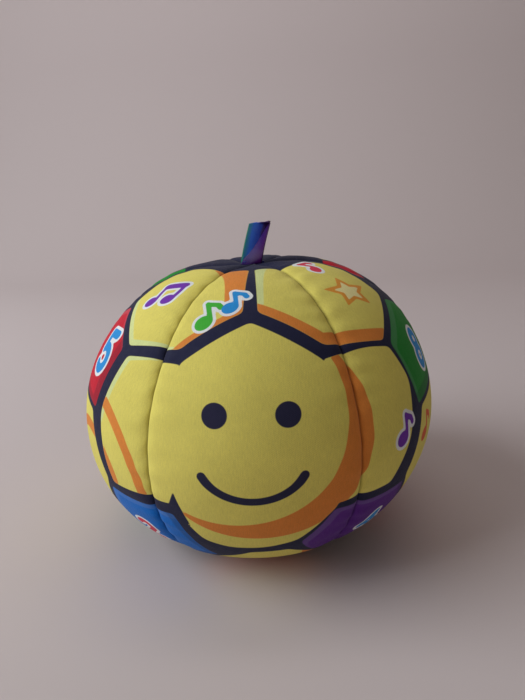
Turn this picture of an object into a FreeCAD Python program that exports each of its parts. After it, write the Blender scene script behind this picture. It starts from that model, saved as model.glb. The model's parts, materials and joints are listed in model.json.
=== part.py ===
"""A soft fabric play ball with a sound module inside. Millimetres, +Z up, front towards -Y.

The origin is the centre of the flat patch that the ball rests on. Longitude is measured
from the front (-Y) towards +X, so the cover's seams lie at 30, 90, 150, 210, 270 and 330 degrees.
"""
import FreeCAD
import Part
import math
import os

Vector = FreeCAD.Vector

# Ball
BALL_R = 87.0  # radius at the widest level
WIDE_Z = 63.0  # height of the widest level above the resting patch
DOME_H = 72.5  # from the widest level to the top pole
REST_R = 28.0  # radius of the flat resting patch
CROWN_R = 18.0  # radius of the flat crown round the top pole
GORES = 6
COVER_T = 1.6  # printed fabric with its foam backing
PROFILE_STEPS = 12  # points on each quarter of the profile
GORE_NAMES = ("front", "front_right", "back_right", "back", "back_left", "front_left")

# Gaps
SEWN_GAP = 0.3  # between sewn layers and their neighbours

# Ribbon in the top pole
RIBBON_W = 10.5
RIBBON_H = 18.5  # visible height of the loop
RIBBON_T = 0.4
LOOP_T = 3.2  # thickness of the closed loop, front to back
TAIL_DEPTH = 9.0  # how far the sewn ends reach into the ball

# Closure in the back gore
OPENING_W = 56.0
OPENING_Z = (23.5, 62.5)
FLAP_GAP = 0.5
FLAP_LOWER_GAP = 1.2  # lets the flap's lower edge swing past the opening's lip
STRIP_W = 46.0
STRIP_Z = (26.0, 35.0)
STRIP_T = 1.0
PLACKET_Z = (16.0, 36.0)
PLACKET_T = 1.0

# Sound module, a box behind the flap
MODULE_W = 52.0
MODULE_Z = (25.0, 63.0)
MODULE_Y = (28.0, 56.0)
SPLIT_Y = 42.0  # where the two housing halves meet
WALL = 1.8
POUCH_T = 1.0

# Battery compartment
POCKET_W = 48.0
POCKET_Z = (27.0, 50.0)
POCKET_FLOOR_Y = 43.4
CELL_R = 5.25
CELL_L = 43.7
NUB_R = 1.9
NUB_L = 0.8
CELL_Y = 48.75
CELL_Z = (32.75, 44.25)
PLATE_T = 0.5
LEAF_T = 0.3
LEAF_W = 4.0
LEAF_SPAN = 6.0

# Battery door and its screw
DOOR_T = 1.8
DOOR_GAP = 0.3
EAR_W = 8.4
EAR_TOP = 57.7
TAB_W = 5.0
TAB_X = 13.5
SCREW_Z = 54.0
SCREW_SHANK_R = 1.25
SCREW_HEAD_R = 2.4
SCREW_HEAD_T = 1.2
SCREW_TIP_Y = 49.5
RUNNING_GAP = 0.08

# Circuit board and what is on it
BOARD_Y = (38.0, 39.6)
BOARD_W = 47.0
BOARD_Z = (27.3, 60.7)
TOP_SCREW = (21.0, 58.0)  # x and z of the housing screws, mirrored to the other side
LOW_SCREW = (20.5, 30.5)  # x and z of the board screws, mirrored to the other side
BOSS_R = 2.6
SMALL_SCREW_R = 1.0
SMALL_HEAD_R = 1.9
SMALL_HEAD_T = 1.1
CHIP_AT = (-8.0, 38.0)
CHIP_R = 5.0
CHIP_H = 1.4

# Speaker, its axis along Y
SPEAKER_Z = 44.0
SPEAKER_R = 14.0
GASKET_T = 0.8
CONE_TRAVEL = 0.5
GRILLE_HOLE_R = 1.1
GRILLE_PITCH = 4.0

# Power switch
SWITCH_X = 12.5
SWITCH_Z = 55.0
SWITCH_TRAVEL = 3.0
KNOB_W = 4.0
KNOB_H = 3.4
KNOB_PROUD = 0.8

# Motion sensor, its axis upright
SENSOR_X = -13.0
SENSOR_Y = 42.4
SENSOR_Z = (51.7, 60.1)
SENSOR_R = 2.6
SENSOR_WALL = 0.5
SENSOR_BALL_R = 1.9

TOP_Z = WIDE_Z + DOME_H
FAR = 200.0  # longer than the ball, for cutting boxes


def box(x, y, z):
    """A box between the low and high values of x, y and z."""
    corner = Vector(x[0], y[0], z[0])
    return Part.makeBox(x[1] - x[0], y[1] - y[0], z[1] - z[0], corner)


def centred_box(width, y, z, x=0.0):
    """A box of that width about x."""
    return box((x - width / 2, x + width / 2), y, z)


def rod_y(radius, y, x, z):
    """A cylinder along Y from the low to the high y."""
    return Part.makeCylinder(radius, y[1] - y[0], Vector(x, y[0], z), Vector(0, 1, 0))


def rod_x(radius, x, y, z):
    """A cylinder along X from the low to the high x."""
    return Part.makeCylinder(radius, x[1] - x[0], Vector(x[0], y, z), Vector(1, 0, 0))


def profile_points(inset, upper):
    """Points of one quarter of the ball's profile, inset from the outer surface."""
    flat = CROWN_R if upper else REST_R
    rise = (DOME_H if upper else WIDE_Z) - inset
    reach = BALL_R - flat - inset
    sign = 1.0 if upper else -1.0
    points = []
    for step in range(PROFILE_STEPS + 1):
        angle = math.pi / 2 * step / PROFILE_STEPS
        points.append(
            Vector(
                flat + reach * math.cos(angle),
                0,
                WIDE_Z + sign * rise * math.sin(angle),
            )
        )
    return points


def quarter_edge(inset, upper):
    """The profile's quarter from the widest level to the flat at its pole."""
    pole_side = Vector(-1, 0, 0)
    upright = Vector(0, 0, 1 if upper else -1)
    curve = Part.BSplineCurve()
    curve.interpolate(
        Points=profile_points(inset, upper),
        InitialTangent=upright,
        FinalTangent=pole_side,
    )
    return curve.toShape()


def profile_edges(inset):
    """Edges of a whole profile from the lower pole to the upper pole."""
    low = Vector(0, 0, inset)
    high = Vector(0, 0, TOP_Z - inset)
    lower_end = Vector(REST_R, 0, inset)
    upper_end = Vector(CROWN_R, 0, TOP_Z - inset)
    return [
        Part.makeLine(low, lower_end),
        quarter_edge(inset, False),
        quarter_edge(inset, True),
        Part.makeLine(upper_end, high),
    ]


def solid_of_revolution(inset):
    """The whole ball's solid, inset from its outer surface."""
    axis_edge = Part.makeLine(Vector(0, 0, TOP_Z - inset), Vector(0, 0, inset))
    wire = Part.Wire(Part.__sortEdges__(profile_edges(inset) + [axis_edge]))
    return Part.Face(wire).revolve(Vector(0, 0, 0), Vector(0, 0, 1), 360)


def shell_wedge(outer, inner, centre, span):
    """A wedge of the layer between two insets, about a centre longitude."""
    edges = profile_edges(outer) + profile_edges(inner)
    edges.append(Part.makeLine(Vector(0, 0, outer), Vector(0, 0, inner)))
    edges.append(
        Part.makeLine(Vector(0, 0, TOP_Z - outer), Vector(0, 0, TOP_Z - inner))
    )
    face = Part.Face(Part.Wire(Part.__sortEdges__(edges)))
    face.rotate(Vector(0, 0, 0), Vector(0, 0, 1), centre - span / 2 - 90.0)
    return face.revolve(Vector(0, 0, 0), Vector(0, 0, 1), span)


def back_layer(outer, inner, width, z):
    """A rectangle of the layer between two insets, cut from the back of the ball."""
    wedge = shell_wedge(outer, inner, 180.0, 70.0)
    return wedge.common(centred_box(width, (0, FAR), z))


def ribbon_slot():
    """The slit at the top pole that the ribbon's ends pass through."""
    half = RIBBON_T + SEWN_GAP
    return centred_box(RIBBON_W + 2 * SEWN_GAP, (-half, half), (TOP_Z - 20, TOP_Z + 5))


def cover_gores():
    """Six gores that meet at both poles. The back one has the closure's opening."""
    span = 360.0 / GORES
    gores = {}
    for index, name in enumerate(GORE_NAMES):
        gore = shell_wedge(0, COVER_T, index * span, span).cut(ribbon_slot())
        if name == "back":
            gore = gore.cut(centred_box(OPENING_W, (0, FAR), OPENING_Z))
        gores["gore_" + name] = gore
    return gores


def ribbon_loop():
    """The closed ribbon loop, upright, with a rounded foot that it bends about."""
    foot_z = TOP_Z + SEWN_GAP
    outer = racetrack(LOOP_T / 2, foot_z, TOP_Z + RIBBON_H)
    inner = racetrack(LOOP_T / 2 - RIBBON_T, foot_z + RIBBON_T, TOP_Z + RIBBON_H - RIBBON_T)
    return outer.cut(inner)


def racetrack(radius, low, high):
    """An upright bar with round ends, as wide as the ribbon."""
    left = -RIBBON_W / 2
    bar = centred_box(RIBBON_W, (-radius, radius), (low + radius, high - radius))
    for z in (low + radius, high - radius):
        bar = bar.fuse(rod_x(radius, (left, -left), 0, z))
    return bar.removeSplitter()


def ribbon_tails():
    """The ribbon's two sewn ends, one on the other, inside the top pole."""
    return centred_box(
        RIBBON_W, (-RIBBON_T, RIBBON_T), (TOP_Z - TAIL_DEPTH, TOP_Z + SEWN_GAP / 2)
    )


def closure():
    """Flap, placket and the hook and loop strips between them."""
    flap_z = (OPENING_Z[0] + FLAP_LOWER_GAP, OPENING_Z[1] - FLAP_GAP)
    flap = back_layer(0, COVER_T, OPENING_W - 2 * FLAP_GAP, flap_z)
    hook = back_layer(COVER_T, COVER_T + STRIP_T, STRIP_W, STRIP_Z)
    loop_outer = COVER_T + STRIP_T + SEWN_GAP
    loop_inner = loop_outer + STRIP_T
    loop = back_layer(loop_outer, loop_inner, STRIP_W, STRIP_Z)
    placket_inner = loop_inner + PLACKET_T
    sewn_edge_top = OPENING_Z[0] - SEWN_GAP
    placket = back_layer(loop_inner, placket_inner, OPENING_W, PLACKET_Z)
    sewn_edge = back_layer(COVER_T, placket_inner, OPENING_W, (PLACKET_Z[0], sewn_edge_top))
    placket = placket.fuse(sewn_edge).removeSplitter()
    return {
        "closure_flap": flap,
        "hook_strip": hook,
        "loop_strip": loop,
        "closure_placket": placket,
    }


def closure_room():
    """The space that the placket and the loop strip take behind the opening's lower edge."""
    depth = COVER_T + 2 * STRIP_T + PLACKET_T + 2 * SEWN_GAP
    z = (PLACKET_Z[0] - SEWN_GAP, PLACKET_Z[1] + SEWN_GAP)
    return back_layer(0, depth, OPENING_W + 2 * SEWN_GAP, z)


def module_box(grow, far_y):
    """The module's box, grown on all sides and open towards the back."""
    return centred_box(
        MODULE_W + 2 * grow,
        (MODULE_Y[0] - grow, far_y),
        (MODULE_Z[0] - grow, MODULE_Z[1] + grow),
    )


def module_pouch():
    """Fabric bag round the module, open at the flap, reaching the cover's inside."""
    bag = module_box(SEWN_GAP + POUCH_T, FAR).cut(module_box(SEWN_GAP, FAR + 1))
    bag = bag.common(solid_of_revolution(COVER_T + SEWN_GAP))
    return bag.cut(closure_room())


def stuffing():
    """Fibre fill: the ball's inside less the pouch, the closure and the ribbon's ends."""
    fill = solid_of_revolution(COVER_T + SEWN_GAP / 2)
    fill = fill.cut(module_box(2 * SEWN_GAP + POUCH_T, FAR))
    fill = fill.cut(closure_room())
    return fill.cut(ribbon_slot())


def grille_holes():
    """Three rings of holes in front of the speaker cone."""
    y = (MODULE_Y[0] - 1, MODULE_Y[0] + WALL + 1)
    holes = rod_y(GRILLE_HOLE_R, y, 0, SPEAKER_Z)
    for ring in (1, 2):
        for step in range(6 * ring):
            angle = 2 * math.pi * step / (6 * ring)
            x = ring * GRILLE_PITCH * math.cos(angle)
            z = SPEAKER_Z + ring * GRILLE_PITCH * math.sin(angle)
            holes = holes.fuse(rod_y(GRILLE_HOLE_R, y, x, z))
    return holes


def housing_front():
    """The half towards the ball's middle: grille, board posts and screw bosses."""
    floor_y = MODULE_Y[0] + WALL
    body = centred_box(MODULE_W, (MODULE_Y[0], SPLIT_Y), MODULE_Z)
    inside_z = (MODULE_Z[0] + WALL, MODULE_Z[1] - WALL)
    body = body.cut(centred_box(MODULE_W - 2 * WALL, (floor_y, SPLIT_Y + 1), inside_z))
    body = body.cut(grille_holes())
    for x, z in (TOP_SCREW, LOW_SCREW):
        for side in (-1, 1):
            body = body.fuse(rod_y(BOSS_R, (floor_y, BOARD_Y[0]), side * x, z))
            body = body.cut(
                rod_y(SMALL_SCREW_R, (floor_y + 1, BOARD_Y[0] + 1), side * x, z)
            )
    return body


def door_screw_boss():
    """The boss under the door's ear, with a wide lead-in so that the door can tilt out."""
    seat_y = MODULE_Y[1] - DOOR_T - DOOR_GAP
    boss = rod_y(3.6, (POCKET_FLOOR_Y, seat_y), 0, SCREW_Z)
    boss = boss.fuse(centred_box(12.0, (seat_y - 1.4, seat_y), (POCKET_Z[1], 59.5)))
    lead_in = Part.makeCone(
        SCREW_SHANK_R + 0.15,
        2.7,
        seat_y - SCREW_TIP_Y + 0.3,
        Vector(0, SCREW_TIP_Y - 0.3, SCREW_Z),
        Vector(0, 1, 0),
    )
    return boss, lead_in


def housing_back():
    """The half towards the flap: battery pocket, switch bay and screw bosses."""
    back_y = MODULE_Y[1]
    seat_y = back_y - DOOR_T - DOOR_GAP
    inside_z = (MODULE_Z[0] + WALL, MODULE_Z[1] - WALL)
    body = centred_box(MODULE_W, (SPLIT_Y, back_y), MODULE_Z)
    body = body.cut(centred_box(POCKET_W, (POCKET_FLOOR_Y, back_y + 1), POCKET_Z))
    bay_z = (POCKET_Z[1] + 1.5, inside_z[1])
    body = body.cut(centred_box(MODULE_W - 2 * WALL, (SPLIT_Y - 1, seat_y), bay_z))
    rebate_z = (POCKET_Z[0] - 0.9, POCKET_Z[1] + 0.9)
    body = body.cut(centred_box(POCKET_W + 2.0, (seat_y, back_y + 1), rebate_z))
    boss, lead_in = door_screw_boss()
    body = body.fuse(boss)
    ear_room = centred_box(
        EAR_W + 2 * DOOR_GAP, (seat_y, back_y + 1), (POCKET_Z[1], EAR_TOP + DOOR_GAP)
    )
    body = body.cut(ear_room).cut(lead_in)
    for side in (-1, 1):
        tab_slot = centred_box(
            TAB_W + 1.0, (seat_y - 0.3, back_y - 0.5), (25.3, POCKET_Z[0]), side * TAB_X
        )
        body = body.cut(tab_slot)
        x = side * TOP_SCREW[0]
        body = body.fuse(rod_y(BOSS_R, (BOARD_Y[1], back_y - 0.5), x, TOP_SCREW[1]))
        body = body.cut(
            rod_y(SMALL_SCREW_R + 0.15, (BOARD_Y[1] - 1, back_y + 1), x, TOP_SCREW[1])
        )
        head_y = (back_y - SMALL_HEAD_T - 0.2, back_y + 1)
        body = body.cut(rod_y(SMALL_HEAD_R + 0.15, head_y, x, TOP_SCREW[1]))
    knob_slot = centred_box(
        KNOB_W + SWITCH_TRAVEL + 0.6,
        (seat_y - 1, back_y + 1),
        (SWITCH_Z - KNOB_H / 2 - 0.3, SWITCH_Z + KNOB_H / 2 + 0.3),
        SWITCH_X,
    )
    return body.cut(knob_slot).removeSplitter()


def battery_door():
    """The door with its ear for the screw, two lower tabs and grip ribs."""
    back_y = MODULE_Y[1]
    inner_y = back_y - DOOR_T
    z = (POCKET_Z[0] - 0.9 + DOOR_GAP, POCKET_Z[1] + 0.9 - DOOR_GAP)
    door = centred_box(POCKET_W + 2.0 - 2 * DOOR_GAP, (inner_y, back_y), z)
    door = door.fuse(centred_box(EAR_W, (inner_y, back_y), (z[1] - 1, EAR_TOP)))
    for side in (-1, 1):
        tab = centred_box(
            TAB_W, (inner_y + 0.1, inner_y + 1.0), (25.6, z[0] + 0.1), side * TAB_X
        )
        door = door.fuse(tab)
    for index in range(5):
        rib_z = 38.0 + 2.4 * index
        door = door.fuse(rod_x(0.5, (-7.0, 7.0), back_y, rib_z))
    head_y = back_y - SCREW_HEAD_T
    door = door.cut(rod_y(SCREW_HEAD_R + 0.2, (head_y, back_y + 1), 0, SCREW_Z))
    door = door.cut(
        rod_y(SCREW_SHANK_R + RUNNING_GAP, (inner_y - 1, back_y), 0, SCREW_Z)
    )
    return door.removeSplitter()


def cross_recess(y, x, z):
    """The cross-head recess in a screw head whose face is at y."""
    long_side = 2.6
    narrow = 0.5
    across = centred_box(long_side, (y - 0.7, y + 1), (z - narrow / 2, z + narrow / 2), x)
    upright = centred_box(narrow, (y - 0.7, y + 1), (z - long_side / 2, z + long_side / 2), x)
    return across.fuse(upright)


def door_screw():
    """The captive screw in the door's ear."""
    face_y = MODULE_Y[1] - 0.1
    seat_y = MODULE_Y[1] - SCREW_HEAD_T + RUNNING_GAP
    screw = rod_y(SCREW_HEAD_R, (seat_y, face_y), 0, SCREW_Z)
    screw = screw.fuse(rod_y(SCREW_SHANK_R, (SCREW_TIP_Y, face_y), 0, SCREW_Z))
    return screw.cut(cross_recess(face_y, 0, SCREW_Z)).removeSplitter()


def small_screws(at, face_y, tip_y):
    """A mirrored pair of cross-head screws, their heads facing the back."""
    screws = []
    for side in (-1, 1):
        x = side * at[0]
        head = rod_y(SMALL_HEAD_R, (face_y - SMALL_HEAD_T, face_y), x, at[1])
        shank = rod_y(SMALL_SCREW_R, (tip_y, face_y), x, at[1])
        screws.append(head.fuse(shank).cut(cross_recess(face_y, x, at[1])))
    return Part.makeCompound(screws)


def battery_cells():
    """Two cells side by side, pointing opposite ways."""
    cells = []
    for z, way in zip(CELL_Z, (-1, 1)):
        can = rod_x(CELL_R, (-CELL_L / 2, CELL_L / 2), CELL_Y, z)
        can = can.makeFillet(0.5, [e for e in can.Edges if len(e.Vertexes) == 1])
        near, far = sorted((way * (CELL_L / 2 - 0.1), way * (CELL_L / 2 + NUB_L)))
        cells.append(can.fuse(rod_x(NUB_R, (near, far), CELL_Y, z)))
    return Part.makeCompound(cells)


def contact_plates():
    """One plate that joins both cells at one end, two separate ones at the other."""
    y = (CELL_Y - 3.5, CELL_Y + 3.5)
    wall_x = POCKET_W / 2
    plates = [box((-wall_x, -wall_x + PLATE_T), y, (CELL_Z[0] - 3.5, CELL_Z[1] + 3.5))]
    for z in CELL_Z:
        plates.append(box((wall_x - PLATE_T, wall_x), y, (z - 3.5, z + 3.5)))
    return Part.makeCompound(plates)


def contact_leaves():
    """A bowed leaf spring between each cell's flat end and its contact plate."""
    leaves = []
    foot_x = POCKET_W / 2 - PLATE_T
    crest_x = CELL_L / 2
    half = LEAF_SPAN / 2
    for z, way in zip(CELL_Z, (1, -1)):
        outline = []
        for shift in (0.0, LEAF_T):
            feet = [Vector(way * (foot_x - shift), CELL_Y + end, z) for end in (-half, half)]
            crest = Vector(way * (crest_x + LEAF_T - shift), CELL_Y, z)
            outline.append(Part.Arc(feet[0], crest, feet[1]).toShape())
        for end in (-half, half):
            outline.append(
                Part.makeLine(
                    Vector(way * foot_x, CELL_Y + end, z),
                    Vector(way * (foot_x - LEAF_T), CELL_Y + end, z),
                )
            )
        face = Part.Face(Part.Wire(Part.__sortEdges__(outline)))
        leaf = face.extrude(Vector(0, 0, LEAF_W))
        leaf.translate(Vector(0, 0, -LEAF_W / 2))
        leaves.append(leaf)
    return Part.makeCompound(leaves)


def circuit_board():
    """The board, with holes for its four screws."""
    board = centred_box(BOARD_W, BOARD_Y, BOARD_Z)
    for x, z in (TOP_SCREW, LOW_SCREW):
        for side in (-1, 1):
            hole_y = (BOARD_Y[0] - 1, BOARD_Y[1] + 1)
            board = board.cut(rod_y(SMALL_SCREW_R + 0.15, hole_y, side * x, z))
    return board


def sound_chip():
    """The dome of epoxy over the chip."""
    sphere_r = (CHIP_R ** 2 + CHIP_H ** 2) / (2 * CHIP_H)
    centre = Vector(CHIP_AT[0], BOARD_Y[1] + CHIP_H - sphere_r, CHIP_AT[1])
    dome = Part.makeSphere(sphere_r, centre)
    return dome.common(rod_y(CHIP_R + 1, (BOARD_Y[1], BOARD_Y[1] + 5), *CHIP_AT))


def revolved_y(points):
    """A solid of revolution about the speaker's axis, from (radius, y) corners."""
    corners = [Vector(radius, y, SPEAKER_Z) for radius, y in points]
    face = Part.Face(Part.makePolygon(corners + corners[:1]))
    return face.revolve(Vector(0, 0, SPEAKER_Z), Vector(0, 1, 0), 360)


def speaker():
    """Gasket, basket, magnet and cone, from the grille inwards."""
    front_y = MODULE_Y[0] + WALL
    rim_y = front_y + GASKET_T
    rim_in = SPEAKER_R - 2.5
    plate_y = rim_y + 4.0
    back_y = plate_y + 0.8
    gasket = revolved_y(
        [(rim_in, front_y), (SPEAKER_R, front_y), (SPEAKER_R, rim_y), (rim_in, rim_y)]
    )
    frame = revolved_y(
        [
            (rim_in, rim_y),
            (SPEAKER_R, rim_y),
            (SPEAKER_R, rim_y + 1.0),
            (rim_in + 0.9, rim_y + 1.0),
            (rim_in + 0.6, rim_y + 2.6),
            (7.0, back_y),
            (0.0, back_y),
            (0.0, plate_y),
            (6.0, plate_y),
            (rim_in, rim_y + 2.4),
        ]
    )
    magnet = rod_y(6.5, (back_y, back_y + 2.0), 0, SPEAKER_Z)
    cone = revolved_y(
        [
            (0.0, rim_y + 2.0),
            (3.2, rim_y + 2.4),
            (rim_in - 0.3, rim_y + CONE_TRAVEL + 0.1),
            (rim_in - 0.3, rim_y + CONE_TRAVEL + 0.5),
            (3.5, rim_y + 2.8),
            (3.5, rim_y + 3.4),
            (3.1, rim_y + 3.4),
            (3.1, rim_y + 2.8),
            (0.0, rim_y + 2.4),
        ]
    )
    return {
        "speaker_gasket": gasket,
        "speaker_frame": frame,
        "speaker_magnet": magnet,
        "speaker_cone": cone,
    }


def wire_path(points, radius):
    """Straight runs joined by tangent arcs of that radius."""
    edges = []
    last = points[0]
    for before, corner, after in zip(points, points[1:], points[2:]):
        into = (corner - before).normalize()
        away = (after - corner).normalize()
        cut = radius * math.tan(into.getAngle(away) / 2)
        arc_start = corner - into * cut
        arc_end = corner + away * cut
        middle_way = (away - into).normalize()
        rise = radius / math.cos(into.getAngle(away) / 2) - radius
        arc_middle = corner + middle_way * rise
        edges.append(Part.makeLine(last, arc_start))
        edges.append(Part.Arc(arc_start, arc_middle, arc_end).toShape())
        last = arc_end
    edges.append(Part.makeLine(last, points[-1]))
    return Part.Wire(edges)


def speaker_wires():
    """Two short leads from the basket's rim to the board, one each side."""
    rim_y = MODULE_Y[0] + WALL + GASKET_T + 1.0
    middle_y = rim_y + 3.2
    low_z, high_z = SPEAKER_Z + 10.3, SPEAKER_Z + 14.0
    wires = []
    for x in (-8.5, 8.5):
        points = [
            Vector(x, rim_y, low_z),
            Vector(x, middle_y, low_z),
            Vector(x, middle_y, high_z),
            Vector(x, BOARD_Y[0], high_z),
        ]
        start = Part.Wire(Part.makeCircle(0.45, points[0], Vector(0, 1, 0)))
        wires.append(wire_path(points, 1.4).makePipeShell([start], True, True))
    return Part.makeCompound(wires)


def power_switch():
    """The switch body behind the wall, and the knob that slides across it."""
    wall_y = MODULE_Y[1] - DOOR_T - DOOR_GAP
    body_z = (SWITCH_Z - 2.4, SWITCH_Z + 2.4)
    body_top = wall_y - 2.2
    body = centred_box(10.0, (BOARD_Y[1], body_top), body_z, SWITCH_X)
    track = centred_box(
        7.4, (body_top - 1.6, body_top + 1), (SWITCH_Z - 1.2, SWITCH_Z + 1.2), SWITCH_X
    )
    body = body.cut(track)
    knob_x = SWITCH_X - SWITCH_TRAVEL / 2
    top_y = MODULE_Y[1] + KNOB_PROUD
    half_h = KNOB_H / 2
    knob = centred_box(
        KNOB_W, (wall_y - 1.6, top_y), (SWITCH_Z - half_h, SWITCH_Z + half_h), knob_x
    )
    flange_z = (SWITCH_Z - 2.6, SWITCH_Z + 2.6)
    knob = knob.fuse(centred_box(6.6, (wall_y - 1.6, wall_y - 0.3), flange_z, knob_x))
    stem_z = (SWITCH_Z - 0.9, SWITCH_Z + 0.9)
    knob = knob.fuse(centred_box(3.0, (body_top - 1.2, wall_y - 1.5), stem_z, knob_x))
    for index in range(3):
        rib_x = knob_x - 1.2 + 1.2 * index
        rib = centred_box(0.4, (top_y, top_y + 0.3), (SWITCH_Z - half_h, SWITCH_Z + half_h), rib_x)
        knob = knob.fuse(rib)
    return {"switch_body": body, "switch_knob": knob.removeSplitter()}


def motion_sensor():
    """An upright can with a base, and the ball that rolls in it."""
    low, high = SENSOR_Z
    centre = Vector(SENSOR_X, SENSOR_Y, low)
    inner_r = SENSOR_R - SENSOR_WALL
    can = Part.makeCylinder(SENSOR_R, high - low, centre)
    can = can.cut(Part.makeCylinder(inner_r, high - low - SENSOR_WALL, centre))
    base = Part.makeCylinder(inner_r - RUNNING_GAP, 0.6, centre)
    ball_z = low + 0.6 + SENSOR_BALL_R + 0.05
    ball = Part.makeSphere(SENSOR_BALL_R, Vector(SENSOR_X, SENSOR_Y, ball_z))
    return {"sensor_can": can, "sensor_base": base, "sensor_ball": ball}


def all_nodes():
    """Every sub-part by its node's name."""
    nodes = {}
    nodes.update(cover_gores())
    nodes.update(closure())
    nodes["ribbon_loop"] = ribbon_loop()
    nodes["ribbon_tails"] = ribbon_tails()
    nodes["stuffing"] = stuffing()
    nodes["module_pouch"] = module_pouch()
    nodes["housing_front"] = housing_front()
    nodes["housing_back"] = housing_back()
    nodes["battery_door"] = battery_door()
    nodes["door_screw"] = door_screw()
    nodes["housing_screws"] = small_screws(TOP_SCREW, MODULE_Y[1] - 0.2, 32.0)
    nodes["board_screws"] = small_screws(LOW_SCREW, BOARD_Y[1] + SMALL_HEAD_T, 33.0)
    nodes["battery_cells"] = battery_cells()
    nodes["contact_plates"] = contact_plates()
    nodes["contact_leaves"] = contact_leaves()
    nodes["circuit_board"] = circuit_board()
    nodes["sound_chip"] = sound_chip()
    nodes.update(speaker())
    nodes["speaker_wires"] = speaker_wires()
    nodes.update(power_switch())
    nodes.update(motion_sensor())
    return nodes


os.makedirs("parts", exist_ok=True)
for node_name, node_shape in all_nodes().items():
    node_shape.exportStep("parts/" + node_name + ".step")
    print(node_name, node_shape.isValid(), len(node_shape.Solids), round(node_shape.Volume, 1))
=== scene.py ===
"""Looks of a soft fabric play ball: printed gores, ribbon loop, closure flap and sound module.

Lengths are in metres. Longitude is measured from the front (-Y) towards +X, in degrees,
and latitude is that of the ball scaled to a unit sphere about its widest level.
"""
import json
import math

import bmesh
import bpy
import numpy as np
from mathutils import Matrix, Vector


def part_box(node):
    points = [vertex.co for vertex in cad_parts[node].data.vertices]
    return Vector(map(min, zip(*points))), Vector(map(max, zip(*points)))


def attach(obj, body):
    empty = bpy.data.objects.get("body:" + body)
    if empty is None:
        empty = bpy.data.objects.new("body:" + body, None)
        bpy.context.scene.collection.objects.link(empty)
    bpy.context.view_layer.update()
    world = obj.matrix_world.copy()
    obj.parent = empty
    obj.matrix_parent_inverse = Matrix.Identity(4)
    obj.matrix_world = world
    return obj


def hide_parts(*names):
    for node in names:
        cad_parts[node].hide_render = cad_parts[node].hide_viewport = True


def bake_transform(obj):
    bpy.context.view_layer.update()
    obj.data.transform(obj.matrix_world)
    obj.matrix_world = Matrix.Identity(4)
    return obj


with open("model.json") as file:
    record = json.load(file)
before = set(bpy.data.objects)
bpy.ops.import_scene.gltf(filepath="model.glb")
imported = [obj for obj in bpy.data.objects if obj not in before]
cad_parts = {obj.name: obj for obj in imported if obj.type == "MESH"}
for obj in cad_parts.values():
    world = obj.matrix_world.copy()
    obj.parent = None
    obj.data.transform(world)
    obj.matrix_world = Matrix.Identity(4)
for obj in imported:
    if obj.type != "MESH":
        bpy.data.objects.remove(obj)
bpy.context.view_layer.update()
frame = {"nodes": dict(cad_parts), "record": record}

MM = 0.001

# Ball, as in the frame: WIDE_Z is its widest level, REST_R and CROWN_R its flat base and crown
BALL_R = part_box("gore_front_right")[1].x
TOP_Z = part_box("gore_front")[1].z
WIDE_Z = 0.063
DOME_H = TOP_Z - WIDE_Z
REST_R = 0.028
CROWN_R = 0.018
COVER_T = 0.0014
HALF_GORE = 30.0
GORE_LON = {
    "front": 0.0,
    "front_right": 60.0,
    "back_right": 120.0,
    "back": 180.0,
    "back_left": -120.0,
    "front_left": -60.0,
}

RIBBON_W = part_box("ribbon_loop")[1].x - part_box("ribbon_loop")[0].x

# How much lower each gore's print was cut, in degrees of latitude
PRINT_SHIFT = {"front_left": -0.8, "front_right": 0.3, "back_left": 0.5, "back_right": -0.4}

# Grid of one gore
COLUMNS = 120
ROWS = 280

# Seams and stuffing
VALLEY_DEPTH = 1.7 * MM
VALLEY_WIDTH = 1.9 * MM
LOBE_RISE = 1.0 * MM
PUCKER_DEPTH = 0.4 * MM
PUCKER_PITCH = 9.5 * MM
POLE_DIP = 1.2 * MM
LEAN = 0.0175  # how far the settled filling pushes the cover out, as a share

# Closure in the back gore, as in the frame
OPENING_HALF = 0.028
OPENING_Z = (0.0235, 0.0625)
FLAP_GAP = 0.4 * MM
FLAP_LOWER_GAP = 1.2 * MM

# Thread of the stitches
STITCH_PITCH = 3.2 * MM
STITCH_LENGTH = 2.4 * MM
THREAD_R = 0.26 * MM

# The filling's lumps
rng = np.random.default_rng(7)


# ---------------------------------------------------------------- small tools


def smooth_max(a, b, k):
    """The larger of two distances, rounded over k where they meet."""
    h = np.clip(0.5 + 0.5 * (a - b) / k, 0, 1)
    return b * (1 - h) + a * h + k * h * (1 - h)


def smooth_step(x, low, high):
    t = np.clip((x - low) / (high - low), 0, 1)
    return t * t * (3 - 2 * t)


def linear(colour):
    """An sRGB colour of 0 to 255 as linear RGBA."""
    c = np.array(colour, float) / 255
    low = c / 12.92
    high = ((c + 0.055) / 1.055) ** 2.4
    return (*np.where(c <= 0.04045, low, high), 1.0)


def new_object(name, vertices, faces):
    """A smooth-shaded mesh object from vertex and face lists."""
    mesh = bpy.data.meshes.new(name)
    mesh.from_pydata([tuple(v) for v in vertices], [], [tuple(f) for f in faces])
    mesh.polygons.foreach_set("use_smooth", [True] * len(mesh.polygons))
    mesh.update()
    obj = bpy.data.objects.new(name, mesh)
    bpy.context.scene.collection.objects.link(obj)
    return obj


def merge_close(obj, distance=1e-6):
    """Joins vertices that lie on each other and removes faces without area."""
    bm = bmesh.new()
    bm.from_mesh(obj.data)
    bmesh.ops.remove_doubles(bm, verts=bm.verts, dist=distance)
    bmesh.ops.dissolve_degenerate(bm, edges=bm.edges, dist=distance)
    bm.to_mesh(obj.data)
    bm.free()
    obj.data.update()


def store(obj, name, values):
    """A float attribute on the object's points."""
    attribute = obj.data.attributes.get(name) or obj.data.attributes.new(name, "FLOAT", "POINT")
    attribute.data.foreach_set("value", np.asarray(values, np.float32))


def points_of(obj):
    co = np.zeros(len(obj.data.vertices) * 3, np.float32)
    obj.data.vertices.foreach_get("co", co)
    return co.reshape(-1, 3).astype(float)


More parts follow.
